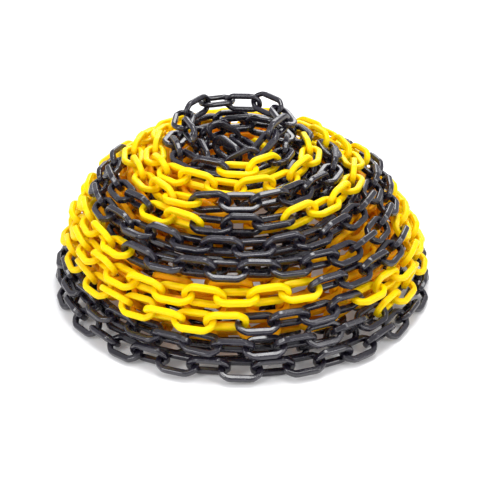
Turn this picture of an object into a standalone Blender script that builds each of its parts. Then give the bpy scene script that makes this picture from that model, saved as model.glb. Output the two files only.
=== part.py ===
"""Plastic barrier chain, black and yellow, wound turn upon turn into a domed heap.

Lengths are in millimetres while the heap is laid out, and in metres in Blender.
The frame: +Z up, the floor is Z = 0, the origin is at the middle of the base, and -Y is the front.
Links are counted from the chain's tail, on the floor behind, to its head, on top.
"""

import math

import bmesh
import bpy
import numpy as np
from mathutils import Matrix, Vector

MM = 0.001

# One link: a flat closed loop of square bar
LINK_LENGTH = 39.0
LINK_WIDTH = 22.0
BAR = 5.7
HALF_BAR = BAR / 2
HALF_LENGTH = (LINK_LENGTH - BAR) / 2
HALF_WIDTH = (LINK_WIDTH - BAR) / 2
PITCH = 2 * HALF_LENGTH - BAR
# A bar with its edges cut off has a regular eight-sided section
EDGE_SHARE = math.tan(math.pi / 8)
EDGE_CUT = HALF_BAR * (1 - EDGE_SHARE)
# How far the outer corners of a link with cut edges are cut back
CORNER_CUT = 3.0

# A link's bars are its right side, tail end, left side and head end
LOOP = np.array([(1, 1, 0), (-1, 1, 0), (-1, -1, 0), (1, -1, 0)]) * (HALF_LENGTH, HALF_WIDTH, 0)
TAIL_BAR = 1
HEAD_BAR = 3

# Links of one joined run bite into each other, and all other links keep a gap
BITE = 0.3
GAP = 0.35
GAP_SPARE = 0.05
# Strands of chain lie at least this far apart, middle to middle, and this far above the floor
STRAND = 19.5
FLOOR_CLEAR = 9.5

# The heap's profile, for the middle of the chain: a dome with full shoulders
BASE_RADIUS = 175.0
BASE_HEIGHT = 11.0
DOME_HEIGHT = 134.0
SLOPE_POWER = 2.3
SHOULDER_POWER = 0.44
TIP_SHARE = 0.02
PROFILE_STEPS = 800
DEPTH_SHARE = 1.05
TURN_SPACING = 21.5
# The heap isn't even: it is higher in front, wider at the floor, and its top is off its middle
REAR_RISE = 3.0
BASE_OUT = 5.0
TOP_SHIFT = -8.0
CLIMB_LAG = 0.1
HEIGHT_RIPPLE = 1.6
RADIUS_RIPPLE = 2.0
# The last turns go down into a hollow in the top
LAST_LEVEL = 9.4
CRATER_DROP = 10.0
CRATER_STEP = 20.0
# The tail swings this far out from the bottom turn, and the head lies this far above the rim
TAIL_OUT = 38.0
HEAD_UP = 24.0
TAIL_SWING = (-0.15, 0.4)
HEAD_SWING = 0.25

# The links' roll about the chain: each is square to the next, and the whole chain sways as it goes
ROLL_SWAYS = ((14, 0.37), (9, 1.13))
FACING_HEIGHT = 60

# Turn numbers along the winding, whole at the rear and half at the front
FIRST_TURN = -0.15
LAST_TURN = 11.36
HEAD_TURN = 10.5
COLOUR_CHANGES = [
    1.62, 2.49, 2.61, 3.56, 3.71, 4.38, 4.90, 5.20, 5.78,
    6.20, 6.37, 6.45, 6.58, 7.42, 7.80, 8.82, 9.48, 9.66,
]
COLOURS = {"black": (0.02, 0.02, 0.024, 1), "yellow": (0.93, 0.62, 0.0, 1)}
PLASTIC_ROUGHNESS = 0.38

# Single links at the two free ends, and the longest joined run between them
TAIL_LINKS = 8
HEAD_LINKS = 5
RUN_LINKS = 10
# Links of the bottom turn whose cut edge lies flat on the floor
FLOOR_LINKS = (12, 24, 36)

# Rounds of moving the chain's middle line, of settling the links, and of easing them apart
WINDING_STEPS = 9000
SPREAD_ROUNDS = 80
SPREAD_SHARE = 0.5
STRETCH_SHARE = 0.3
SETTLE_ROUNDS = 60
SETTLE_SINK = 0.05
EASE_ROUNDS = 400
EASE_SHARE = 4.4
PAIR_ROUNDS = 8


def smooth(value):
    """0 below 0, 1 above 1, and an even S between."""
    value = np.clip(value, 0, 1)
    return value * value * (3 - 2 * value)


def dome(length_up):
    """Radius and height on the heap's profile, a rounded dome, at a length up its slope."""
    radius = BASE_RADIUS * np.linspace(1, TIP_SHARE, PROFILE_STEPS)
    height = BASE_HEIGHT + DOME_HEIGHT * (1 - (radius / BASE_RADIUS) ** SLOPE_POWER) ** SHOULDER_POWER
    steps = np.hypot(np.diff(radius), np.diff(height))
    along = np.concatenate([[0], np.cumsum(steps)])
    return np.interp(length_up, along, radius), np.interp(length_up, along, height)


def winding(turn):
    """The chain's middle at each turn number: each turn climbs one level, mostly at the rear."""
    level = np.maximum(turn - 0.5 + CLIMB_LAG * np.sin(2 * np.pi * turn), 0)
    azimuth = np.pi + 2 * np.pi * turn
    radius, height = dome(np.minimum(level, LAST_LEVEL) * TURN_SPACING)
    over = smooth((turn - HEAD_TURN) / HEAD_SWING)
    inside = np.maximum(level - LAST_LEVEL, 0) * (1 - over)
    radius = radius - CRATER_STEP * inside
    radius = radius + TAIL_OUT * (1 - smooth((turn - TAIL_SWING[0]) / TAIL_SWING[1]))
    radius = radius + BASE_OUT * (1 - smooth(level / 0.8))
    height = height - CRATER_DROP * inside + HEAD_UP * over
    share_up = smooth(level / LAST_LEVEL)
    height = height - REAR_RISE * np.cos(azimuth) * share_up
    height = height + HEIGHT_RIPPLE * np.sin(3 * azimuth + 2.0 * level) * np.clip(level, 0, 1)
    radius = radius + RADIUS_RIPPLE * np.sin(4 * azimuth + 1.3 * level) * np.clip(level, 0, 1)
    x = radius * np.sin(azimuth) + TOP_SHIFT * share_up
    return np.stack([x, -DEPTH_SHARE * radius * np.cos(azimuth), height], 1)


def even_steps(turns, points):
    """Turn numbers and points one pitch apart along the winding."""
    steps = np.linalg.norm(np.diff(points, axis=0), axis=1)
    along = np.concatenate([[0], np.cumsum(steps)])
    at = np.arange(0, along[-1], PITCH)
    even = np.stack([np.interp(at, along, column) for column in points.T], 1)
    return np.interp(at, along, turns), even


def spread_strands(points):
    """Move the chain's middle line, a pitch a step, until its strands lie a chain's thickness apart."""
    first, second = np.triu_indices(len(points) - 1, 4)
    for _ in range(SPREAD_ROUNDS):
        steps = np.diff(points, axis=0)
        near = np.linalg.norm(points[first] - points[second], axis=1) < 3 * PITCH
        a, b = first[near], second[near]
        share_a, share_b = closest(points[a], steps[a], points[b], steps[b])
        between = points[a] + share_a[:, None] * steps[a] - points[b] - share_b[:, None] * steps[b]
        distance = np.linalg.norm(between, axis=1)
        push = np.maximum(STRAND - distance, 0)[:, None] * between / distance[:, None] / 2
        shift = np.zeros_like(points)
        ends = ((a, 1 - share_a, 1), (a + 1, share_a, 1), (b, 1 - share_b, -1), (b + 1, share_b, -1))
        for link, share, sign in ends:
            np.add.at(shift, link, SPREAD_SHARE * sign * share[:, None] * push)
        length = np.linalg.norm(steps, axis=1)[:, None]
        pull = STRETCH_SHARE * (length - PITCH) * steps / length
        shift[:-1] += pull
        shift[1:] -= pull
        points = points + shift
        points[:, 2] = np.maximum(points[:, 2], FLOOR_CLEAR)
    return points


def frames_along(points):
    """Each link's axes as columns: along the chain, across the link, and square to its plane."""
    along = np.gradient(points, axis=0)
    along /= np.linalg.norm(along, axis=1)[:, None]
    count = np.arange(len(points))
    into_heap = np.minimum(count - TAIL_LINKS, len(points) - 2 - count - HEAD_LINKS)
    wound = smooth((into_heap + 2) / 4)
    outward = points * (1, 1, 0) + wound[:, None] * (0, 0, FACING_HEIGHT)
    side = np.cross(outward, along)
    side /= np.linalg.norm(side, axis=1)[:, None]
    up = np.cross(along, side)
    sway = sum(degrees * np.sin(count * rate) for degrees, rate in ROLL_SWAYS)
    roll = np.radians(90 + 90 * (count % 2) + (sway - 45) * wound)[:, None]
    across = np.cos(roll) * side + np.sin(roll) * up
    return np.stack([along, across, np.cross(along, across)], 2)


def floor_frames(axes):
    """Level axes with the same heading, rolled by 45 degrees, so that a cut edge faces straight down."""
    along = axes[:, :, 0] * (1, 1, 0)
    along /= np.linalg.norm(along, axis=1)[:, None]
    side = np.cross((0, 0, 1.0), along)
    tilt = np.sign(axes[:, 2, 1] * (axes[:, :, 1] * side).sum(1))[:, None]
    across = math.sqrt(0.5) * (side + tilt * (0, 0, 1.0))
    return np.stack([along, across, np.cross(along, across)], 2)


def closest(start_a, edge_a, start_b, edge_b):
    """Shares along two sets of bars at which they come nearest."""
    gap = start_a - start_b
    aa = (edge_a * edge_a).sum(1)
    bb = (edge_b * edge_b).sum(1)
    ab = (edge_a * edge_b).sum(1)
    ag = (edge_a * gap).sum(1)
    bg = (edge_b * gap).sum(1)
    square = np.maximum(aa * bb - ab * ab, 1e-9)
    share_a = np.clip((ab * bg - ag * bb) / square, 0, 1)
    share_b = np.clip((ab * share_a + bg) / bb, 0, 1)
    return np.clip((ab * share_b - ag) / aa, 0, 1), share_b


def near_pairs(centres):
    """Index pairs of links that could touch."""
    reach = 2 * math.hypot(HALF_LENGTH, HALF_WIDTH) + 2 * BAR
    first, second = np.triu_indices(len(centres), 1)
    close = np.linalg.norm(centres[first] - centres[second], axis=1) < reach
    return first[close], second[close]


def turned(axes, small_turns):
    """The axes after a small turn, kept square."""
    moved = axes + np.cross(small_turns[:, None, :], axes.transpose(0, 2, 1)).transpose(0, 2, 1)
    along = moved[:, :, 0] / np.linalg.norm(moved[:, :, 0], axis=1)[:, None]
    across = moved[:, :, 1] - (moved[:, :, 1] * along).sum(1)[:, None] * along
    across /= np.linalg.norm(across, axis=1)[:, None]
    return np.stack([along, across, np.cross(along, across)], 2)


def bar_reach(axes, cut, direction):
    """How far a bar's skin is from its middle line, in each direction."""
    share = np.abs(np.einsum("nij,ni->nj", axes, direction))
    in_plane = np.maximum(share[:, 0], share[:, 1])
    small = np.minimum(share[:, 0], share[:, 1])
    corner = np.maximum(in_plane + EDGE_SHARE * share[:, 2], EDGE_SHARE * in_plane + share[:, 2]) + small
    return HALF_BAR * np.where(cut, corner, share.sum(1))


def bar_pairs(centres, axes, pairs):
    """Nearest points of every two bars of near links, with the links and bars they belong to."""
    corners = centres[:, None] + LOOP @ axes.transpose(0, 2, 1)
    edges = np.roll(corners, -1, 1) - corners
    side_a, side_b = [grid.ravel() for grid in np.meshgrid(range(4), range(4), indexing="ij")]
    a = np.repeat(pairs[0], 16)
    b = np.repeat(pairs[1], 16)
    bar_a = np.tile(side_a, len(pairs[0]))
    bar_b = np.tile(side_b, len(pairs[0]))
    share_a, share_b = closest(corners[a, bar_a], edges[a, bar_a], corners[b, bar_b], edges[b, bar_b])
    point_a = corners[a, bar_a] + share_a[:, None] * edges[a, bar_a]
    point_b = corners[b, bar_b] + share_b[:, None] * edges[b, bar_b]
    return a, b, bar_a, bar_b, point_a, point_b


def contacts(centres, axes, run_of, cut, pairs):
    """Where near links press into each other or should meet, and by how much they are too close."""
    a, b, bar_a, bar_b, point_a, point_b = bar_pairs(centres, axes, pairs)
    between = point_a - point_b
    distance = np.linalg.norm(between, axis=1)
    meeting = (b - a == 1) & (bar_a == HEAD_BAR) & (bar_b == TAIL_BAR)
    near = (distance < 2 * BAR) | meeting
    a, b, point_a, point_b, between, distance, meeting = [
        values[near] for values in (a, b, point_a, point_b, between, distance, meeting)
    ]
    normal = between / distance[:, None]
    joined = (b - a == 1) & (run_of[a] == run_of[b])
    clear = np.where(joined & meeting, -BITE, GAP + GAP_SPARE)
    short = bar_reach(axes[a], cut[a], normal) + bar_reach(axes[b], cut[b], normal) + clear - distance
    act = (short > 0) | meeting
    return [values[act] for values in (a, b, point_a, point_b, normal, short)]


def pushes(centres, a, b, point_a, point_b, normal, short):
    """How far each link is to move and to turn, as if all were equally heavy."""
    inertia = 0.5 * (HALF_LENGTH**2 + HALF_WIDTH**2)
    turn_a = np.cross(point_a - centres[a], normal)
    turn_b = np.cross(point_b - centres[b], normal)
    weight = 2 + ((turn_a**2).sum(1) + (turn_b**2).sum(1)) / inertia
    push = (short / weight)[:, None]
    shift = np.zeros_like(centres)
    turn = np.zeros_like(centres)
    np.add.at(shift, a, push * normal)
    np.add.at(shift, b, -push * normal)
    np.add.at(turn, a, push * turn_a / inertia)
    np.add.at(turn, b, -push * turn_b / inertia)
    hits = np.bincount(a, minlength=len(centres)) + np.bincount(b, minlength=len(centres))
    share = (EASE_SHARE / (3 + hits))[:, None]
    return share * shift, share * turn


def lowest_centres(axes, cut):
    """How high each link's centre has to be for the link to clear the floor."""
    down = np.broadcast_to((0, 0, 1.0), (len(axes), 3))
    return np.abs(axes[:, 2, :2]) @ (HALF_LENGTH, HALF_WIDTH) + bar_reach(axes, cut, down)


def ease_apart(centres, axes, run_of, cut, rounds, sink=0.0):
    """Move and turn the links a little at a time, until no two press into each other."""
    floor = list(FLOOR_LINKS)
    for count in range(rounds):
        if count % PAIR_ROUNDS == 0:
            pairs = near_pairs(centres)
        shift, turn = pushes(centres, *contacts(centres, axes, run_of, cut, pairs))
        centres = centres + shift - (0, 0, sink)
        axes = turned(axes, turn)
        axes[floor] = floor_frames(axes[floor])
        centres[:, 2] = np.maximum(centres[:, 2], lowest_centres(axes, cut))
        centres[floor, 2] = HALF_WIDTH * math.sqrt(0.5) + HALF_BAR
    return centres, axes


def split_runs(turns):
    """For each link, its colour number, and the number of the run or single link it belongs to."""
    colour = np.searchsorted(COLOUR_CHANGES, turns) % 2
    count = len(turns)
    pieces = []
    start = TAIL_LINKS
    while start < count - HEAD_LINKS:
        same = start
        while same < count - HEAD_LINKS and colour[same] == colour[start]:
            same += 1
        parts = math.ceil((same - start) / RUN_LINKS)
        bounds = np.linspace(start, same, parts + 1).round().astype(int)
        pieces += [range(low, high) for low, high in zip(bounds[:-1], bounds[1:])]
        start = same
    tail = [range(index, index + 1) for index in range(TAIL_LINKS)]
    head = [range(index, index + 1) for index in range(count - HEAD_LINKS, count)]
    pieces = tail + pieces + head
    run_of = np.concatenate([[number] * len(links) for number, links in enumerate(pieces)])
    return colour, pieces, run_of


def lay_out():
    """The whole chain: links' centres, axes, colours, pieces and which bars have their edges cut."""
    fine = np.linspace(FIRST_TURN, LAST_TURN, WINDING_STEPS)
    turns, centres = even_steps(fine, winding(fine))
    centres = spread_strands(centres)
    axes = frames_along(centres)
    colour, pieces, run_of = split_runs(turns)
    count = np.arange(len(turns))
    cut = (count <= TAIL_LINKS) | (count >= len(turns) - HEAD_LINKS - 1) | np.isin(count, FLOOR_LINKS)
    centres, axes = ease_apart(centres, axes, run_of, cut, SETTLE_ROUNDS, SETTLE_SINK)
    centres, axes = ease_apart(centres, axes, run_of, cut, EASE_ROUNDS)
    return centres, axes, colour, pieces, cut


def hinge_of(centres, axes, link, parent):
    """Point on a free link's joint, which is the middle line of its own bar that hangs on its parent."""
    corners = centres[:, None] + LOOP @ axes.transpose(0, 2, 1)
    edges = np.roll(corners, -1, 1) - corners
    bar, parent_bar = (HEAD_BAR, TAIL_BAR) if link < parent else (TAIL_BAR, HEAD_BAR)
    start, span = corners[link, bar], edges[link, bar]
    other, other_span = corners[parent, parent_bar], edges[parent, parent_bar]
    share = closest(start[None], span[None], other[None], other_span[None])[0][0]
    return start + share * span


def clear_scene():
    """Remove the objects that a new scene starts with."""
    for item in list(bpy.data.objects):
        bpy.data.objects.remove(item, do_unlink=True)


def new_collection(name):
    """An empty collection in the scene."""
    collection = bpy.data.collections.new(name)
    bpy.context.scene.collection.children.link(collection)
    return collection


def plastic(node_name, shade):
    """Moulded polyethylene in one of the chain's colours, for one node."""
    material = bpy.data.materials.new(node_name + "_plastic")
    material.use_nodes = True
    shader = material.node_tree.nodes["Principled BSDF"]
    shader.inputs["Base Color"].default_value = COLOURS[shade]
    shader.inputs["Roughness"].default_value = PLASTIC_ROUGHNESS
    shader.inputs["Metallic"].default_value = 0.0
    return material


def outline(curve, half_length, half_width, corner):
    """Add a closed rectangle to a flat curve, with its corners cut back."""
    points = []
    for x, y in ((1, 1), (-1, 1), (-1, -1), (1, -1)):
        along = (x * (half_length - corner), y * half_width)
        across = (x * half_length, y * (half_width - corner))
        points += [across, along] if x * y > 0 else [along, across]
    if corner == 0:
        points = points[::2]
    spline = curve.splines.new("POLY")
    spline.points.add(len(points) - 1)
    for point, (x, y) in zip(spline.points, points):
        point.co = (x, y, 0, 1)
    spline.use_cyclic_u = True


def link_mesh(cut):
    """One link in its own frame, in millimetres, with plain square bars or with their edges cut."""
    curve = bpy.data.curves.new("link_outline", "CURVE")
    curve.dimensions = "2D"
    curve.fill_mode = "BOTH"
    edge = EDGE_CUT if cut else 0
    outline(curve, LINK_LENGTH / 2 - edge, LINK_WIDTH / 2 - edge, CORNER_CUT if cut else 0)
    outline(curve, LINK_LENGTH / 2 - BAR + edge, LINK_WIDTH / 2 - BAR + edge, 0)
    curve.extrude = HALF_BAR - edge
    curve.bevel_depth = edge
    curve.bevel_resolution = 0
    flat = bpy.data.objects.new("link_outline", curve)
    bpy.context.scene.collection.objects.link(flat)
    bpy.context.view_layer.update()
    mesh = bpy.data.meshes.new_from_object(flat.evaluated_get(bpy.context.evaluated_depsgraph_get()))
    bpy.data.objects.remove(flat, do_unlink=True)
    shape = bmesh.new()
    shape.from_mesh(mesh)
    bmesh.ops.remove_doubles(shape, verts=shape.verts, dist=0.001)
    bmesh.ops.recalc_face_normals(shape, faces=shape.faces)
    bmesh.ops.triangulate(shape, faces=shape.faces)
    shape.to_mesh(mesh)
    shape.free()
    return mesh


def placed_links(name, mesh_of, links, centres, axes, cut, origin):
    """Copies of the link mesh at these links' places, as one mesh about the given origin."""
    shape = bmesh.new()
    for link in links:
        copy = mesh_of[bool(cut[link])].copy()
        place = Matrix(axes[link].tolist()).to_4x4()
        place.translation = Vector(centres[link] - origin)
        copy.transform(Matrix.Scale(MM, 4) @ place)
        shape.from_mesh(copy)
        bpy.data.meshes.remove(copy)
    mesh = bpy.data.meshes.new(name)
    shape.to_mesh(mesh)
    shape.free()
    return mesh


def new_object(name, mesh, origin, collection):
    """An object with this mesh, its origin at a point in millimetres."""
    item = bpy.data.objects.new(name, mesh)
    item.location = Vector(origin) * MM
    collection.objects.link(item)
    return item


def joined_run(name, material, mesh_of, links, layout, parts, cutters):
    """One closed body: every second link of the run, united with the links between them."""
    centres, axes, cut = layout
    origin = centres[links[len(links) // 2]]
    first = placed_links(name, mesh_of, links[::2], centres, axes, cut, origin)
    second = placed_links(name + "_between", mesh_of, links[1::2], centres, axes, cut, origin)
    run = new_object(name, first, origin, parts)
    run.data.materials.append(material)
    between = new_object(name + "_between", second, origin, cutters)
    between.display_type = "WIRE"
    between.hide_render = True
    union = run.modifiers.new("unite", "BOOLEAN")
    union.operation = "UNION"
    union.object = between
    return run


def free_link(name, material, mesh_of, link, parent, layout, parts):
    """A link of its own, with its origin on its joint's axis."""
    centres, axes, cut = layout
    origin = hinge_of(centres, axes, link, parent)
    mesh = placed_links(name, mesh_of, [link], centres, axes, cut, origin)
    item = new_object(name, mesh, origin, parts)
    item.data.materials.append(material)
    return item


def piece_names(pieces, colour):
    """Each piece's name: links are counted outward from the heap, and runs from the tail up."""
    names = []
    runs = 0
    for number, links in enumerate(pieces):
        if number < TAIL_LINKS:
            names.append(f"tail_link_{TAIL_LINKS - number}")
        elif number >= len(pieces) - HEAD_LINKS:
            names.append(f"head_link_{number - len(pieces) + HEAD_LINKS + 1}")
        else:
            runs += 1
            shade = "yellow" if colour[links[0]] else "black"
            names.append(f"{shade}_run_{runs:02d}")
    return names


def centre_on_floor(items):
    """Shift everything sideways, so that the whole chain's box is centred on the origin."""
    bpy.context.view_layer.update()
    corners = [item.matrix_world @ vertex.co for item in items for vertex in item.data.vertices]
    middle_x = (min(corner.x for corner in corners) + max(corner.x for corner in corners)) / 2
    middle_y = (min(corner.y for corner in corners) + max(corner.y for corner in corners)) / 2
    for item in items:
        item.location -= Vector((middle_x, middle_y, 0))


def build():
    """Make every piece of the chain."""
    clear_scene()
    parts = new_collection("barrier_chain")
    cutters = new_collection("cutters")
    centres, axes, colour, pieces, cut = lay_out()
    layout = (centres, axes, cut)
    mesh_of = {shape: link_mesh(shape) for shape in (False, True)}
    for number, (name, links) in enumerate(zip(piece_names(pieces, colour), pieces)):
        material = plastic(name, "yellow" if colour[links[0]] else "black")
        if number < TAIL_LINKS:
            free_link(name, material, mesh_of, links[0], links[0] + 1, layout, parts)
        elif number >= len(pieces) - HEAD_LINKS:
            free_link(name, material, mesh_of, links[0], links[0] - 1, layout, parts)
        else:
            joined_run(name, material, mesh_of, links, layout, parts, cutters)
    centre_on_floor(list(parts.objects) + list(cutters.objects))


build()
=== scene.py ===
"""The look of the black and yellow plastic barrier chain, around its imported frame.

The links are laid out by the same steps as the part's, in millimetres, and then set into the frame.
"""

import math

import bpy
import numpy as np
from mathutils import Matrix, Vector


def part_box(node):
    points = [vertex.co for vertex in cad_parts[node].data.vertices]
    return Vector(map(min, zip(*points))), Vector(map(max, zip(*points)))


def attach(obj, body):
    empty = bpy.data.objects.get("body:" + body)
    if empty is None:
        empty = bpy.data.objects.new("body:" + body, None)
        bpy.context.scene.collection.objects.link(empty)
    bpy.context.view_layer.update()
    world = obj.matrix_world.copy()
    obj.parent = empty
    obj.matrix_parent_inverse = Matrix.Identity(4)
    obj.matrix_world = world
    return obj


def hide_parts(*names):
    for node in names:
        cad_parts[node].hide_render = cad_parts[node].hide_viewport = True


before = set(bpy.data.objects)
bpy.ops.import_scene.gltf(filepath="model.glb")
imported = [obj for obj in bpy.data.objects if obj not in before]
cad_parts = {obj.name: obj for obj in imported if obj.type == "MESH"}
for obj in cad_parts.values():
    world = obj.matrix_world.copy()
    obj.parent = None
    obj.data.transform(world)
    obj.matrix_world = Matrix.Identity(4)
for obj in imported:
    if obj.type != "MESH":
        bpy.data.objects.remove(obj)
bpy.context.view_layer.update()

MM = 0.001

# One link: a flat closed loop of square bar
LINK_LENGTH = 39.0
LINK_WIDTH = 22.0
BAR = 5.7
HALF_BAR = BAR / 2
HALF_LENGTH = (LINK_LENGTH - BAR) / 2
HALF_WIDTH = (LINK_WIDTH - BAR) / 2
PITCH = 2 * HALF_LENGTH - BAR
# A bar with its edges cut off has a regular eight-sided section
EDGE_SHARE = math.tan(math.pi / 8)

# A link's bars are its right side, tail end, left side and head end
LOOP = np.array([(1, 1, 0), (-1, 1, 0), (-1, -1, 0), (1, -1, 0)]) * (HALF_LENGTH, HALF_WIDTH, 0)
TAIL_BAR = 1
HEAD_BAR = 3

# Links of one joined run bite into each other, and all other links keep a gap
BITE = 0.3
GAP = 0.35
GAP_SPARE = 0.05
# Strands of chain lie at least this far apart, middle to middle, and this far above the floor
STRAND = 19.5
FLOOR_CLEAR = 9.5

# The heap's profile, for the middle of the chain: a dome with full shoulders
BASE_RADIUS = 175.0
BASE_HEIGHT = 11.0
DOME_HEIGHT = 134.0
SLOPE_POWER = 2.3
SHOULDER_POWER = 0.44
TIP_SHARE = 0.02
PROFILE_STEPS = 800
DEPTH_SHARE = 1.05
TURN_SPACING = 21.5
# The heap isn't even: it is higher in front, wider at the floor, and its top is off its middle
REAR_RISE = 3.0
BASE_OUT = 5.0
TOP_SHIFT = -8.0
CLIMB_LAG = 0.1
HEIGHT_RIPPLE = 1.6
RADIUS_RIPPLE = 2.0
# The last turns go down into a hollow in the top
LAST_LEVEL = 9.4
CRATER_DROP = 10.0
CRATER_STEP = 20.0
# The tail swings this far out from the bottom turn, and the head lies this far above the rim
TAIL_OUT = 38.0
HEAD_UP = 24.0
TAIL_SWING = (-0.15, 0.4)
HEAD_SWING = 0.25

# The links' roll about the chain: each is square to the next, and the whole chain sways as it goes
ROLL_SWAYS = ((14, 0.37), (9, 1.13))
FACING_HEIGHT = 60

# Turn numbers along the winding, whole at the rear and half at the front
FIRST_TURN = -0.15
LAST_TURN = 11.36
HEAD_TURN = 10.5
COLOUR_CHANGES = [
    1.62, 2.49, 2.61, 3.56, 3.71, 4.38, 4.90, 5.20, 5.78,
    6.20, 6.37, 6.45, 6.58, 7.42, 7.80, 8.82, 9.48, 9.66,
]

# Single links at the two free ends, and the longest joined run between them
TAIL_LINKS = 8
HEAD_LINKS = 5
RUN_LINKS = 10
# Links of the bottom turn whose cut edge lies flat on the floor
FLOOR_LINKS = (12, 24, 36)

# Rounds of moving the chain's middle line, of settling the links, and of easing them apart
WINDING_STEPS = 9000
SPREAD_ROUNDS = 80
SPREAD_SHARE = 0.5
STRETCH_SHARE = 0.3
SETTLE_ROUNDS = 60
SETTLE_SINK = 0.05
EASE_ROUNDS = 400
EASE_SHARE = 4.4
PAIR_ROUNDS = 8


def smooth(value):
    """0 below 0, 1 above 1, and an even S between."""
    value = np.clip(value, 0, 1)
    return value * value * (3 - 2 * value)


def dome(length_up):
    """Radius and height on the heap's profile, a rounded dome, at a length up its slope."""
    radius = BASE_RADIUS * np.linspace(1, TIP_SHARE, PROFILE_STEPS)
    height = BASE_HEIGHT + DOME_HEIGHT * (1 - (radius / BASE_RADIUS) ** SLOPE_POWER) ** SHOULDER_POWER
    steps = np.hypot(np.diff(radius), np.diff(height))
    along = np.concatenate([[0], np.cumsum(steps)])
    return np.interp(length_up, along, radius), np.interp(length_up, along, height)


def winding(turn):
    """The chain's middle at each turn number: each turn climbs one level, mostly at the rear."""
    level = np.maximum(turn - 0.5 + CLIMB_LAG * np.sin(2 * np.pi * turn), 0)
    azimuth = np.pi + 2 * np.pi * turn
    radius, height = dome(np.minimum(level, LAST_LEVEL) * TURN_SPACING)
    over = smooth((turn - HEAD_TURN) / HEAD_SWING)
    inside = np.maximum(level - LAST_LEVEL, 0) * (1 - over)
    radius = radius - CRATER_STEP * inside
    radius = radius + TAIL_OUT * (1 - smooth((turn - TAIL_SWING[0]) / TAIL_SWING[1]))
    radius = radius + BASE_OUT * (1 - smooth(level / 0.8))
    height = height - CRATER_DROP * inside + HEAD_UP * over
    share_up = smooth(level / LAST_LEVEL)
    height = height - REAR_RISE * np.cos(azimuth) * share_up
    height = height + HEIGHT_RIPPLE * np.sin(3 * azimuth + 2.0 * level) * np.clip(level, 0, 1)
    radius = radius + RADIUS_RIPPLE * np.sin(4 * azimuth + 1.3 * level) * np.clip(level, 0, 1)
    x = radius * np.sin(azimuth) + TOP_SHIFT * share_up
    return np.stack([x, -DEPTH_SHARE * radius * np.cos(azimuth), height], 1)


def even_steps(turns, points):
    """Turn numbers and points one pitch apart along the winding."""
    steps = np.linalg.norm(np.diff(points, axis=0), axis=1)
    along = np.concatenate([[0], np.cumsum(steps)])
    at = np.arange(0, along[-1], PITCH)
    even = np.stack([np.interp(at, along, column) for column in points.T], 1)
    return np.interp(at, along, turns), even


def spread_strands(points):
    """Move the chain's middle line, a pitch a step, until its strands lie a chain's thickness apart."""
    first, second = np.triu_indices(len(points) - 1, 4)
    for _ in range(SPREAD_ROUNDS):
        steps = np.diff(points, axis=0)
        near = np.linalg.norm(points[first] - points[second], axis=1) < 3 * PITCH
        a, b = first[near], second[near]
        share_a, share_b = closest(points[a], steps[a], points[b], steps[b])
        between = points[a] + share_a[:, None] * steps[a] - points[b] - share_b[:, None] * steps[b]
        distance = np.linalg.norm(between, axis=1)
        push = np.maximum(STRAND - distance, 0)[:, None] * between / distance[:, None] / 2
        shift = np.zeros_like(points)
        ends = ((a, 1 - share_a, 1), (a + 1, share_a, 1), (b, 1 - share_b, -1), (b + 1, share_b, -1))
        for link, share, sign in ends:
            np.add.at(shift, link, SPREAD_SHARE * sign * share[:, None] * push)
        length = np.linalg.norm(steps, axis=1)[:, None]
        pull = STRETCH_SHARE * (length - PITCH) * steps / length
        shift[:-1] += pull
        shift[1:] -= pull
        points = points + shift
        points[:, 2] = np.maximum(points[:, 2], FLOOR_CLEAR)
    return points


def frames_along(points):
    """Each link's axes as columns: along the chain, across the link, and square to its plane."""
    along = np.gradient(points, axis=0)
    along /= np.linalg.norm(along, axis=1)[:, None]
    count = np.arange(len(points))
    into_heap = np.minimum(count - TAIL_LINKS, len(points) - 2 - count - HEAD_LINKS)
    wound = smooth((into_heap + 2) / 4)
    outward = points * (1, 1, 0) + wound[:, None] * (0, 0, FACING_HEIGHT)
    side = np.cross(outward, along)
    side /= np.linalg.norm(side, axis=1)[:, None]
    up = np.cross(along, side)
    sway = sum(degrees * np.sin(count * rate) for degrees, rate in ROLL_SWAYS)
    roll = np.radians(90 + 90 * (count % 2) + (sway - 45) * wound)[:, None]
    across = np.cos(roll) * side + np.sin(roll) * up
    return np.stack([along, across, np.cross(along, across)], 2)


def floor_frames(axes):
    """Level axes with the same heading, rolled by 45 degrees, so that a cut edge faces straight down."""
    along = axes[:, :, 0] * (1, 1, 0)
    along /= np.linalg.norm(along, axis=1)[:, None]
    side = np.cross((0, 0, 1.0), along)
    tilt = np.sign(axes[:, 2, 1] * (axes[:, :, 1] * side).sum(1))[:, None]
    across = math.sqrt(0.5) * (side + tilt * (0, 0, 1.0))
    return np.stack([along, across, np.cross(along, across)], 2)


def closest(start_a, edge_a, start_b, edge_b):
    """Shares along two sets of bars at which they come nearest."""
    gap = start_a - start_b
    aa = (edge_a * edge_a).sum(1)
    bb = (edge_b * edge_b).sum(1)
    ab = (edge_a * edge_b).sum(1)
    ag = (edge_a * gap).sum(1)
    bg = (edge_b * gap).sum(1)
    square = np.maximum(aa * bb - ab * ab, 1e-9)
    share_a = np.clip((ab * bg - ag * bb) / square, 0, 1)
    share_b = np.clip((ab * share_a + bg) / bb, 0, 1)
    return np.clip((ab * share_b - ag) / aa, 0, 1), share_b


def near_pairs(centres):
    """Index pairs of links that could touch."""
    reach = 2 * math.hypot(HALF_LENGTH, HALF_WIDTH) + 2 * BAR
    first, second = np.triu_indices(len(centres), 1)
    close = np.linalg.norm(centres[first] - centres[second], axis=1) < reach
    return first[close], second[close]


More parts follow.
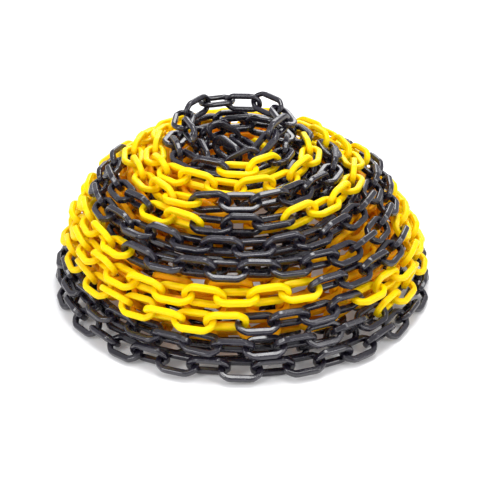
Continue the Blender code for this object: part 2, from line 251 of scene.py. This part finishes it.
def turned(axes, small_turns):
    """The axes after a small turn, kept square."""
    moved = axes + np.cross(small_turns[:, None, :], axes.transpose(0, 2, 1)).transpose(0, 2, 1)
    along = moved[:, :, 0] / np.linalg.norm(moved[:, :, 0], axis=1)[:, None]
    across = moved[:, :, 1] - (moved[:, :, 1] * along).sum(1)[:, None] * along
    across /= np.linalg.norm(across, axis=1)[:, None]
    return np.stack([along, across, np.cross(along, across)], 2)


def bar_reach(axes, cut, direction):
    """How far a bar's skin is from its middle line, in each direction."""
    share = np.abs(np.einsum("nij,ni->nj", axes, direction))
    in_plane = np.maximum(share[:, 0], share[:, 1])
    small = np.minimum(share[:, 0], share[:, 1])
    corner = np.maximum(in_plane + EDGE_SHARE * share[:, 2], EDGE_SHARE * in_plane + share[:, 2]) + small
    return HALF_BAR * np.where(cut, corner, share.sum(1))


def bar_pairs(centres, axes, pairs):
    """Nearest points of every two bars of near links, with the links and bars they belong to."""
    corners = centres[:, None] + LOOP @ axes.transpose(0, 2, 1)
    edges = np.roll(corners, -1, 1) - corners
    side_a, side_b = [grid.ravel() for grid in np.meshgrid(range(4), range(4), indexing="ij")]
    a = np.repeat(pairs[0], 16)
    b = np.repeat(pairs[1], 16)
    bar_a = np.tile(side_a, len(pairs[0]))
    bar_b = np.tile(side_b, len(pairs[0]))
    share_a, share_b = closest(corners[a, bar_a], edges[a, bar_a], corners[b, bar_b], edges[b, bar_b])
    point_a = corners[a, bar_a] + share_a[:, None] * edges[a, bar_a]
    point_b = corners[b, bar_b] + share_b[:, None] * edges[b, bar_b]
    return a, b, bar_a, bar_b, point_a, point_b


def contacts(centres, axes, run_of, cut, pairs):
    """Where near links press into each other or should meet, and by how much they are too close."""
    a, b, bar_a, bar_b, point_a, point_b = bar_pairs(centres, axes, pairs)
    between = point_a - point_b
    distance = np.linalg.norm(between, axis=1)
    meeting = (b - a == 1) & (bar_a == HEAD_BAR) & (bar_b == TAIL_BAR)
    near = (distance < 2 * BAR) | meeting
    a, b, point_a, point_b, between, distance, meeting = [
        values[near] for values in (a, b, point_a, point_b, between, distance, meeting)
    ]
    normal = between / distance[:, None]
    joined = (b - a == 1) & (run_of[a] == run_of[b])
    clear = np.where(joined & meeting, -BITE, GAP + GAP_SPARE)
    short = bar_reach(axes[a], cut[a], normal) + bar_reach(axes[b], cut[b], normal) + clear - distance
    act = (short > 0) | meeting
    return [values[act] for values in (a, b, point_a, point_b, normal, short)]


def pushes(centres, a, b, point_a, point_b, normal, short):
    """How far each link is to move and to turn, as if all were equally heavy."""
    inertia = 0.5 * (HALF_LENGTH**2 + HALF_WIDTH**2)
    turn_a = np.cross(point_a - centres[a], normal)
    turn_b = np.cross(point_b - centres[b], normal)
    weight = 2 + ((turn_a**2).sum(1) + (turn_b**2).sum(1)) / inertia
    push = (short / weight)[:, None]
    shift = np.zeros_like(centres)
    turn = np.zeros_like(centres)
    np.add.at(shift, a, push * normal)
    np.add.at(shift, b, -push * normal)
    np.add.at(turn, a, push * turn_a / inertia)
    np.add.at(turn, b, -push * turn_b / inertia)
    hits = np.bincount(a, minlength=len(centres)) + np.bincount(b, minlength=len(centres))
    share = (EASE_SHARE / (3 + hits))[:, None]
    return share * shift, share * turn


def lowest_centres(axes, cut):
    """How high each link's centre has to be for the link to clear the floor."""
    down = np.broadcast_to((0, 0, 1.0), (len(axes), 3))
    return np.abs(axes[:, 2, :2]) @ (HALF_LENGTH, HALF_WIDTH) + bar_reach(axes, cut, down)


def ease_apart(centres, axes, run_of, cut, rounds, sink=0.0):
    """Move and turn the links a little at a time, until no two press into each other."""
    floor = list(FLOOR_LINKS)
    for count in range(rounds):
        if count % PAIR_ROUNDS == 0:
            pairs = near_pairs(centres)
        shift, turn = pushes(centres, *contacts(centres, axes, run_of, cut, pairs))
        centres = centres + shift - (0, 0, sink)
        axes = turned(axes, turn)
        axes[floor] = floor_frames(axes[floor])
        centres[:, 2] = np.maximum(centres[:, 2], lowest_centres(axes, cut))
        centres[floor, 2] = HALF_WIDTH * math.sqrt(0.5) + HALF_BAR
    return centres, axes


def split_runs(turns):
    """For each link, its colour number, and the number of the run or single link it belongs to."""
    colour = np.searchsorted(COLOUR_CHANGES, turns) % 2
    count = len(turns)
    pieces = []
    start = TAIL_LINKS
    while start < count - HEAD_LINKS:
        same = start
        while same < count - HEAD_LINKS and colour[same] == colour[start]:
            same += 1
        parts = math.ceil((same - start) / RUN_LINKS)
        bounds = np.linspace(start, same, parts + 1).round().astype(int)
        pieces += [range(low, high) for low, high in zip(bounds[:-1], bounds[1:])]
        start = same
    tail = [range(index, index + 1) for index in range(TAIL_LINKS)]
    head = [range(index, index + 1) for index in range(count - HEAD_LINKS, count)]
    pieces = tail + pieces + head
    run_of = np.concatenate([[number] * len(links) for number, links in enumerate(pieces)])
    return colour, pieces, run_of


def lay_out():
    """The whole chain: links' centres, axes, colours, pieces and which bars have their edges cut."""
    fine = np.linspace(FIRST_TURN, LAST_TURN, WINDING_STEPS)
    turns, centres = even_steps(fine, winding(fine))
    centres = spread_strands(centres)
    axes = frames_along(centres)
    colour, pieces, run_of = split_runs(turns)
    count = np.arange(len(turns))
    cut = (count <= TAIL_LINKS) | (count >= len(turns) - HEAD_LINKS - 1) | np.isin(count, FLOOR_LINKS)
    centres, axes = ease_apart(centres, axes, run_of, cut, SETTLE_ROUNDS, SETTLE_SINK)
    centres, axes = ease_apart(centres, axes, run_of, cut, EASE_ROUNDS)
    return centres, axes, colour, pieces, cut


# The link as it is moulded: the corners of a quarter of its outer and inner outlines, and how far they are
# rounded. The bar's edges are rounded too, and more on the links whose edges are cut in the frame.
OUTER_CORNERS = np.array([(19.5, 4.2), (11.5, 11.0)])
INNER_CORNERS = np.array([(13.8, 2.5), (10.5, 5.3)])
OUTER_ROUND = 3.6
INNER_ROUND = 1.3
EDGE_ROUND = 1.8
CUT_EDGE_ROUND = 2.8

# The short coil in the hollow top, from its first turn to its last
CRATER_TURNS = 1.6
CRATER_RADII = (38.0, 22.0)
CRATER_HEIGHTS = (126.0, 134.0)
CRATER_RIPPLE = 4.0
CRATER_RIPPLES_A_TURN = 2.7
# Where the inner turns change colour, from black: shares of the coil's length, and turn numbers
CRATER_CHANGES = [0.22, 0.30, 0.66, 0.84]
UNDER_CHANGES = [1.1, 1.7, 2.2, 2.9, 3.2, 4.3, 4.6, 5.4, 5.9, 6.6, 6.9, 7.5, 7.9, 8.5]
DEEP_CHANGES = [0.8, 2.0, 2.6, 3.9, 4.4, 5.3, 6.2, 7.1, 7.8]
# The layers of inner turns: their first and last turn number, where they lie between one outer turn, 0, and
# the next, 1, and how deep they lie under them
LAYERS = {
    "under": {"turns": (0.0, 8.9), "groove": 0.5, "depth": 17.0, "changes": UNDER_CHANGES},
    "deep": {"turns": (0.55, 8.3), "groove": 0.0, "depth": 38.0, "changes": DEEP_CHANGES},
}
# Rounds of easing an inner layer, and how far its middle line gives way to what is laid already
INNER_ROUNDS = 110
FIXED_SHARE = 0.5
# Points of one strand this close along the chain don't push each other, as if they were far away
OWN_STRAND = 4
FAR = 1e6
# A new link that still presses this far into another is left out
ALLOWED_PRESS = 0.8
# The longest run of inner links in one piece
INNER_RUN = 24

# How the tone goes from link to link, as if at random
TONE_STEP = 12.9898
TONE_RUN_STEP = 4.1

# Scales of the patterns in the plastic, in patterns a metre: broad clouds, scuffs and fine grain
CLOUD_SCALE = 55.0
SCUFF_SCALE = 260.0
GRAIN_SCALE = 900.0
# How much rougher the plastic gets with clouds and scuffs
CLOUD_ROUGHNESS = (-0.05, 0.08)
SCUFF_ROUGHNESS = 0.14
BUMP_STRENGTH = 0.35
BUMP_DEPTH = 0.0002
PLASTIC_IOR = 1.5
GLOW_DEPTH = 0.004

FLOOR_HALF = 6.0
FLOOR_COLOUR = (0.9, 0.9, 0.905, 1)
FLOOR_ROUGHNESS = 0.6
FLOOR_EMISSION = 0.1

# The soft boxes: place, size in metres and power in watts. All are aimed at the middle of the heap.
LIGHT_TARGET = (0, 0, 0.05)
LIGHTS = {
    "top_box": ((0.1, 0.0, 1.2), (0.55, 0.55), 8.5),
    "left_box": ((-0.9, -0.9, 0.9), (0.4, 0.8), 7.5),
    "right_box": ((1.0, -0.7, 0.8), (0.35, 0.8), 5.0),
    "back_box": ((0.2, 1.3, 0.9), (1.1, 0.5), 8.0),
}
WORLD_COLOUR = (0.97, 0.97, 1.0, 1)
WORLD_STRENGTH = 0.68

CAMERA_TARGET = (-0.0011, -0.01495, 0.057)
CAMERA_ELEVATION = 27.0
CAMERA_DISTANCE = 0.9595
CAMERA_LENS = 72.1
CAMERA_SHIFT = (-0.00625, -0.0417)
CAMERA_SENSOR = 36.0
CAMERA_CLIP_END = 50.0


def rounded(corners, reach):
    """Points and outward normals of a closed outline, each corner rounded with three points."""
    points = []
    normals = []
    count = len(corners)
    for index in range(count):
        here = corners[index]
        before = corners[index - 1] - here
        after = corners[(index + 1) % count] - here
        before /= np.linalg.norm(before)
        after /= np.linalg.norm(after)
        first = here + reach * before
        last = here + reach * after
        normal_first = np.array([-before[1], before[0]])
        normal_last = np.array([after[1], -after[0]])
        normal_middle = normal_first + normal_last
        points += [first, (first + 2 * here + last) / 4, last]
        normals += [normal_first, normal_middle / np.linalg.norm(normal_middle), normal_last]
    return np.array(points), np.array(normals)


def full_outline(quarter):
    """A quarter's corners mirrored into the whole outline, counterclockwise."""
    right = np.array([quarter[0], quarter[1]])
    left = right[::-1] * (-1, 1)
    upper = np.concatenate([right, left])
    return np.concatenate([upper, upper * (-1, -1)])


def link_surface(edge_round):
    """One link's points, outward normals, edge marks and faces, in its own frame."""
    outer, outer_normals = rounded(full_outline(OUTER_CORNERS), OUTER_ROUND)
    inner, inner_normals = rounded(full_outline(INNER_CORNERS), INNER_ROUND)
    points = []
    normals = []
    marks = []
    corner = [(0, 1), (math.sqrt(0.5), math.sqrt(0.5)), (1, 0)]
    profile = [(1, 1, c, s) for c, s in corner]
    profile += [(1, -1, c, s) for c, s in corner[::-1]]
    profile += [(-1, -1, c, s) for c, s in corner]
    profile += [(-1, 1, c, s) for c, s in corner[::-1]]
    for out, into, out_normal, in_normal in zip(outer, inner, outer_normals, inner_normals):
        half = (out - into) / 2
        half_size = np.linalg.norm(half)
        for side, face, c, s in profile:
            across = side * (half_size - edge_round * (1 - c)) / half_size
            height = face * (HALF_BAR - edge_round * (1 - s))
            points.append([*((out + into) / 2 + across * half), height])
            sideways = out_normal if side > 0 else -in_normal
            normals.append([*(c * sideways), s * face])
            marks.append(1.0 if 0 < c < 1 else 0.0)
    ring = len(profile)
    stations = len(outer)
    faces = []
    for station in range(stations):
        after = (station + 1) % stations
        for place in range(ring):
            beside = (place + 1) % ring
            corners = ((station, place), (station, beside), (after, beside), (after, place))
            faces.append([row * ring + column for row, column in corners])
    return np.array(points), np.array(normals), np.array(marks), np.array(faces)


# By whether the link's edges are cut in the frame
SURFACES = {False: link_surface(EDGE_ROUND), True: link_surface(CUT_EDGE_ROUND)}


def links_piece(name, links, centres, axes, cut, shift, material):
    """One piece made of these links, each a closed shell of its own."""
    points, normals, marks, tones, faces = [], [], [], [], []
    count = 0
    for link in links:
        local, local_normals, local_marks, local_faces = SURFACES[bool(cut[link])]
        points.append((local @ axes[link].T + centres[link]) * MM + shift)
        normals.append(local_normals @ axes[link].T)
        marks.append(local_marks)
        wave = math.sin(TONE_STEP * (link + 1) + TONE_RUN_STEP * len(links))
        tones.append(np.full(len(local), 0.5 + 0.5 * wave))
        faces.append(local_faces + count)
        count += len(local)
    mesh = bpy.data.meshes.new(name)
    mesh.from_pydata(np.concatenate(points).tolist(), [], np.concatenate(faces).tolist())
    mesh.attributes.new("edge", "FLOAT", "POINT").data.foreach_set("value", np.concatenate(marks))
    mesh.attributes.new("tone", "FLOAT", "POINT").data.foreach_set("value", np.concatenate(tones))
    mesh.polygons.foreach_set("use_smooth", [True] * len(mesh.polygons))
    mesh.normals_split_custom_set_from_vertices(np.concatenate(normals).tolist())
    mesh.validate()
    mesh.materials.append(material)
    piece = bpy.data.objects.new(name, mesh)
    bpy.context.scene.collection.objects.link(piece)
    return piece


def noise(tree, scale, detail, roughness=0.5):
    """Noise in the piece's own coordinates."""
    coordinates = tree.nodes.new("ShaderNodeTexCoord")
    node = tree.nodes.new("ShaderNodeTexNoise")
    node.inputs["Scale"].default_value = scale
    node.inputs["Detail"].default_value = detail
    node.inputs["Roughness"].default_value = roughness
    tree.links.new(coordinates.outputs["Object"], node.inputs["Vector"])
    return node.outputs["Fac"]


def attribute(tree, name):
    """A value stored on the mesh."""
    node = tree.nodes.new("ShaderNodeAttribute")
    node.attribute_name = name
    return node.outputs["Fac"]


def maths(tree, operation, first, second):
    """Two values or sockets combined."""
    node = tree.nodes.new("ShaderNodeMath")
    node.operation = operation
    for socket, value in zip(node.inputs, (first, second)):
        if isinstance(value, (int, float)):
            socket.default_value = value
        else:
            tree.links.new(value, socket)
    return node.outputs["Value"]


def blend_colour(tree, factor, first, second):
    """Between two colours, each a colour or a socket."""
    mix = tree.nodes.new("ShaderNodeMix")
    mix.data_type = "RGBA"
    tree.links.new(factor, mix.inputs["Factor"])
    for name, value in (("A", first), ("B", second)):
        socket = next(item for item in mix.inputs if item.name == name and item.type == "RGBA")
        if isinstance(value, tuple):
            socket.default_value = value
        else:
            tree.links.new(value, socket)
    return next(item for item in mix.outputs if item.type == "RGBA")


def map_range(tree, value, from_low, from_high, to_low, to_high):
    """The value moved from one range to another."""
    node = tree.nodes.new("ShaderNodeMapRange")
    node.inputs["From Min"].default_value = from_low
    node.inputs["From Max"].default_value = from_high
    node.inputs["To Min"].default_value = to_low
    node.inputs["To Max"].default_value = to_high
    tree.links.new(value, node.inputs["Value"])
    return node.outputs["Result"]


def moulded_plastic(name, look):
    """Moulded polyethylene: clouded colour and sheen, scuffs, fine grain, and a painted highlight, a lighter
    patchy tint along the bars' edges.
    """
    material = bpy.data.materials.new(name)
    material.use_nodes = True
    tree = material.node_tree
    shader = tree.nodes["Principled BSDF"]
    cloud = noise(tree, CLOUD_SCALE, 3.0)
    grain = noise(tree, GRAIN_SCALE, 4.0, 0.6)
    scuff = noise(tree, SCUFF_SCALE, 6.0, 0.7)
    body = blend_colour(tree, attribute(tree, "tone"), look["dark"], look["light"])
    body = blend_colour(tree, map_range(tree, cloud, 0.35, 0.7, 0.0, look["cloud"]), body, look["shade"])
    # Painted highlight: the lighter edge colour laid along the bars' rounded edges, in patches where the
    # scuff noise is high
    painted_highlight = maths(tree, "MULTIPLY", attribute(tree, "edge"), map_range(tree, scuff, 0.46, 0.62, 0.0, 1.0))
    painted_highlight = maths(tree, "MULTIPLY", painted_highlight, look["edge_highlight_amount"])
    tree.links.new(blend_colour(tree, painted_highlight, body, look["edge_highlight"]), shader.inputs["Base Color"])
    glossiest, dullest = [look["rough"] + change for change in CLOUD_ROUGHNESS]
    sheen = map_range(tree, cloud, 0.3, 0.7, glossiest, dullest)
    sheen = maths(tree, "ADD", sheen, map_range(tree, scuff, 0.5, 0.7, 0.0, SCUFF_ROUGHNESS))
    tree.links.new(sheen, shader.inputs["Roughness"])
    bump = tree.nodes.new("ShaderNodeBump")
    bump.inputs["Strength"].default_value = BUMP_STRENGTH
    bump.inputs["Distance"].default_value = BUMP_DEPTH
    height = maths(tree, "ADD", maths(tree, "MULTIPLY", grain, 0.5), maths(tree, "MULTIPLY", scuff, 0.5))
    tree.links.new(height, bump.inputs["Height"])
    tree.links.new(bump.outputs["Normal"], shader.inputs["Normal"])
    shader.inputs["IOR"].default_value = PLASTIC_IOR
    shader.inputs["Specular IOR Level"].default_value = look["specular"]
    shader.inputs["Subsurface Weight"].default_value = look["glow"]
    shader.inputs["Subsurface Radius"].default_value = look["glow_radius"]
    shader.inputs["Subsurface Scale"].default_value = GLOW_DEPTH
    return material


# The inner turns' yellow is a deeper orange copy of the same plastic: painted shade, standing in for the
# orange that the yellow takes in the heap's shade and between yellow links
LOOKS = {
    "black": {
        "dark": (0.006, 0.005, 0.010, 1),
        "light": (0.013, 0.011, 0.019, 1),
        "shade": (0.018, 0.015, 0.027, 1),
        # Painted highlight along the edges: its colour and how strongly it shows, here and in the other looks
        "edge_highlight": (0.07, 0.063, 0.088, 1),
        "cloud": 0.5,
        "edge_highlight_amount": 0.45,
        "rough": 0.16,
        "specular": 0.75,
        "glow": 0.0,
        "glow_radius": (1, 1, 1),
    },
    "yellow": {
        "dark": (0.96, 0.64, 0.0, 1),
        "light": (1.0, 0.70, 0.0, 1),
        "shade": (0.96, 0.60, 0.0, 1),
        "edge_highlight": (1.0, 0.76, 0.04, 1),
        "cloud": 0.35,
        "edge_highlight_amount": 0.35,
        "rough": 0.32,
        "specular": 0.15,
        "glow": 0.3,
        "glow_radius": (1.0, 0.35, 0.02),
    },
    "shaded_yellow": {
        "dark": (0.95, 0.40, 0.0, 1),
        "light": (1.0, 0.47, 0.0, 1),
        "shade": (0.95, 0.36, 0.0, 1),
        "edge_highlight": (1.0, 0.62, 0.03, 1),
        "cloud": 0.35,
        "edge_highlight_amount": 0.35,
        "rough": 0.34,
        "specular": 0.15,
        "glow": 0.3,
        "glow_radius": (1.0, 0.3, 0.02),
    },
}


def inner_winding(layer):
    """The middle line of one layer of inner turns, lying in the grooves of the turns above it."""
    turns = np.linspace(*layer["turns"], WINDING_STEPS)
    below, above = winding(turns), winding(turns + 1)
    share = layer["groove"]
    points = (1 - share) * below + share * above
    along = np.gradient(points, axis=0)
    inward = np.cross(along, above - below)
    inward /= np.linalg.norm(inward, axis=1)[:, None]
    inward *= np.sign((inward * (points * (-1, -1, 0))).sum(1))[:, None]
    points = points + layer["depth"] * inward
    points[:, 2] = np.maximum(points[:, 2], FLOOR_CLEAR)
    return even_steps(turns, points)


def crater_winding():
    """A short coil in the hollow in the heap's top, from near its rim inward and a little up."""
    share = np.linspace(0, 1, WINDING_STEPS)
    azimuth = 2 * np.pi * CRATER_TURNS * share
    radius = CRATER_RADII[0] + (CRATER_RADII[1] - CRATER_RADII[0]) * share
    height = CRATER_HEIGHTS[0] + (CRATER_HEIGHTS[1] - CRATER_HEIGHTS[0]) * share
    height = height + CRATER_RIPPLE * np.sin(CRATER_RIPPLES_A_TURN * azimuth)
    x = radius * np.sin(azimuth) + TOP_SHIFT
    return even_steps(share, np.stack([x, -radius * np.cos(azimuth), height], 1))


def halfway(points):
    """The points, and those halfway between chain neighbours."""
    near = np.linalg.norm(points[1:] - points[:-1], axis=1) < 2 * PITCH
    return np.concatenate([points, (points[1:] + points[:-1])[near] / 2])


def spread_inner(fixed_points, points):
    """Move a new middle line clear of the strands laid already, and its turns clear of each other."""
    fixed = len(fixed_points)
    first, second = np.indices((len(points), fixed + len(points)))
    own = np.abs(first + fixed - second) < OWN_STRAND
    share = np.where(second < fixed, FIXED_SHARE, FIXED_SHARE / 2)
    for _ in range(SPREAD_ROUNDS):
        steps = np.diff(points, axis=0)
        length = np.linalg.norm(steps, axis=1)[:, None]
        pull = STRETCH_SHARE * (length - PITCH) * steps / length
        apart = points[:, None] - np.concatenate([fixed_points, points])[None]
        distance = np.where(own, FAR, np.linalg.norm(apart, axis=2))
        push = share * np.maximum(STRAND - distance, 0) / distance
        shift = (push[:, :, None] * apart).sum(1)
        shift[:-1] += pull
        shift[1:] -= pull
        points = points + shift
        points[:, 2] = np.maximum(points[:, 2], FLOOR_CLEAR)
    return points


def lying_clear(fixed, count, a, b, short):
    """Which new links to keep: the worst is left out, until none presses in by more than is allowed."""
    keep = np.ones(fixed + count, bool)
    deep = short > GAP + ALLOWED_PRESS
    a, b = a[deep], b[deep]
    while len(a):
        hits = np.bincount(a, minlength=len(keep)) + np.bincount(b, minlength=len(keep))
        hits[:fixed] = 0
        keep[hits.argmax()] = False
        left = keep[a] & keep[b]
        a, b = a[left], b[left]
    return keep[fixed:]


def ease_inner(fixed_links, centres, axes):
    """Move only these links away from all others, and say which of them end up clear."""
    fixed_centres, fixed_axes, fixed_cut = fixed_links
    fixed = len(fixed_centres)
    centres = np.concatenate([fixed_centres, centres])
    axes = np.concatenate([fixed_axes, axes])
    cut = np.concatenate([fixed_cut, np.zeros(len(centres) - fixed, bool)])
    own_run = np.arange(len(centres))
    for count in range(INNER_ROUNDS):
        if count % PAIR_ROUNDS == 0:
            first, second = near_pairs(centres)
            pairs = (first[second >= fixed], second[second >= fixed])
        shift, turn = pushes(centres, *contacts(centres, axes, own_run, cut, pairs))
        shift[:fixed] = 0
        turn[:fixed] = 0
        centres = centres + shift
        axes = turned(axes, turn)
        centres[fixed:, 2] = np.maximum(centres[fixed:, 2], lowest_centres(axes, cut)[fixed:])
    a, b, _, _, _, short = contacts(centres, axes, own_run, cut, pairs)
    keep = lying_clear(fixed, len(centres) - fixed, a, b, short)
    return centres[fixed:], axes[fixed:], keep


def piece_names(pieces, colour):
    """Each piece's node: links are counted outward from the heap, and runs from the tail up."""
    names = []
    runs = 0
    for number, links in enumerate(pieces):
        if number < TAIL_LINKS:
            names.append(f"tail_link_{TAIL_LINKS - number}")
        elif number >= len(pieces) - HEAD_LINKS:
            names.append(f"head_link_{number - len(pieces) + HEAD_LINKS + 1}")
        else:
            runs += 1
            shade = "yellow" if colour[links[0]] else "black"
            names.append(f"{shade}_run_{runs:02d}")
    return names


def frame_shift(names, pieces, centres, axes, cut):
    """From the layout, in metres, to the frame: where one run of links with no cut edges is in both."""
    whole = next(number for number, links in enumerate(pieces) if not cut[list(links)].any())
    node, links = names[whole], pieces[whole]
    half = np.array([LINK_LENGTH, LINK_WIDTH, BAR]) / 2
    reach = np.abs(axes[list(links)]) @ half
    low = (centres[list(links)] - reach).min(0)
    return np.array(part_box(node)[0]) - low * MM


def build_chain():
    """Every piece of the outer winding and the free ends, and then the inner turns."""
    centres, axes, colour, pieces, cut = lay_out()
    names = piece_names(pieces, colour)
    shift = frame_shift(names, pieces, centres, axes, cut)
    materials = {shade: moulded_plastic(shade + "_polyethylene", look) for shade, look in LOOKS.items()}
    for name, links in zip(names, pieces):
        shade = "yellow" if colour[links[0]] else "black"
        piece = links_piece("chain_" + name, links, centres, axes, cut, shift, materials[shade])
        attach(piece, name.replace("_link", "") if "_link_" in name else "heap")
        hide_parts(name)
    build_inner((centres, axes, cut), shift, materials)


def build_inner(laid, shift, materials):
    """The turns inside the heap, each layer clear of what is laid already."""
    windings = {name: (inner_winding(layer), layer["changes"]) for name, layer in LAYERS.items()}
    windings["crater"] = (crater_winding(), CRATER_CHANGES)
    for layer_name, ((turns, centres), changes) in windings.items():
        centres = spread_inner(halfway(laid[0]), centres)
        centres, axes, keep = ease_inner(laid, centres, frames_along(centres))
        centres, axes, turns = centres[keep], axes[keep], turns[keep]
        plain = np.zeros(len(centres), bool)
        laid = tuple(np.concatenate(both) for both in zip(laid, (centres, axes, plain)))
        colour = np.searchsorted(changes, turns) % 2
        start = 0
        number = 0
        while start < len(centres):
            same = start
            while same < min(len(centres), start + INNER_RUN) and colour[same] == colour[start]:
                same += 1
            number += 1
            shade = "yellow" if colour[start] else "black"
            name = f"{layer_name}_{shade}_{number:02d}"
            # The under and deep layers of yellow get the deeper orange copy, a painted shade
            look = "shaded_yellow" if shade == "yellow" and layer_name != "crater" else shade
            piece = links_piece(name, range(start, same), centres, axes, plain, shift, materials[look])
            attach(piece, "heap")
            start = same


def floor_white():
    """A plain matt white, a little brighter than the light on it makes it."""
    material = bpy.data.materials.new("floor_white")
    material.use_nodes = True
    shader = material.node_tree.nodes["Principled BSDF"]
    shader.inputs["Roughness"].default_value = FLOOR_ROUGHNESS
    shader.inputs["Base Color"].default_value = FLOOR_COLOUR
    shader.inputs["Emission Color"].default_value = FLOOR_COLOUR
    shader.inputs["Emission Strength"].default_value = FLOOR_EMISSION
    return material


def build_floor():
    """A wide pale floor."""
    corners = [(FLOOR_HALF * x, FLOOR_HALF * y, 0) for x, y in ((-1, -1), (1, -1), (1, 1), (-1, 1))]
    mesh = bpy.data.meshes.new("floor")
    mesh.from_pydata(corners, [], [(0, 1, 2, 3)])
    mesh.materials.append(floor_white())
    floor = bpy.data.objects.new("floor", mesh)
    bpy.context.scene.collection.objects.link(floor)


def area_light(name, place, size, power):
    """A white soft box aimed at the heap."""
    light = bpy.data.lights.new(name, "AREA")
    light.shape = "RECTANGLE"
    light.size, light.size_y = size
    light.energy = power
    item = bpy.data.objects.new(name, light)
    item.location = place
    item.rotation_euler = (Vector(LIGHT_TARGET) - Vector(place)).to_track_quat("-Z", "Y").to_euler()
    bpy.context.scene.collection.objects.link(item)


def build_light():
    """A white studio: even light all round, and soft boxes above, at both sides and behind."""
    world = bpy.data.worlds.new("studio")
    world.use_nodes = True
    background = world.node_tree.nodes["Background"]
    background.inputs["Color"].default_value = WORLD_COLOUR
    background.inputs["Strength"].default_value = WORLD_STRENGTH
    bpy.context.scene.world = world
    for name, (place, size, power) in LIGHTS.items():
        area_light(name, place, size, power)


def build_camera():
    """A long lens, a little above the heap, from the front."""
    rise = math.radians(CAMERA_ELEVATION)
    back = Vector((0, -math.cos(rise), math.sin(rise)))
    data = bpy.data.cameras.new("camera")
    data.sensor_width = CAMERA_SENSOR
    data.lens = CAMERA_LENS
    data.shift_x, data.shift_y = CAMERA_SHIFT
    data.clip_end = CAMERA_CLIP_END
    camera = bpy.data.objects.new("camera", data)
    camera.location = Vector(CAMERA_TARGET) + CAMERA_DISTANCE * back
    camera.rotation_euler = (-back).to_track_quat("-Z", "Y").to_euler()
    bpy.context.scene.collection.objects.link(camera)
    bpy.context.scene.camera = camera


bpy.context.scene.view_settings.view_transform = "Standard"
build_camera()
build_light()
build_floor()
build_chain()
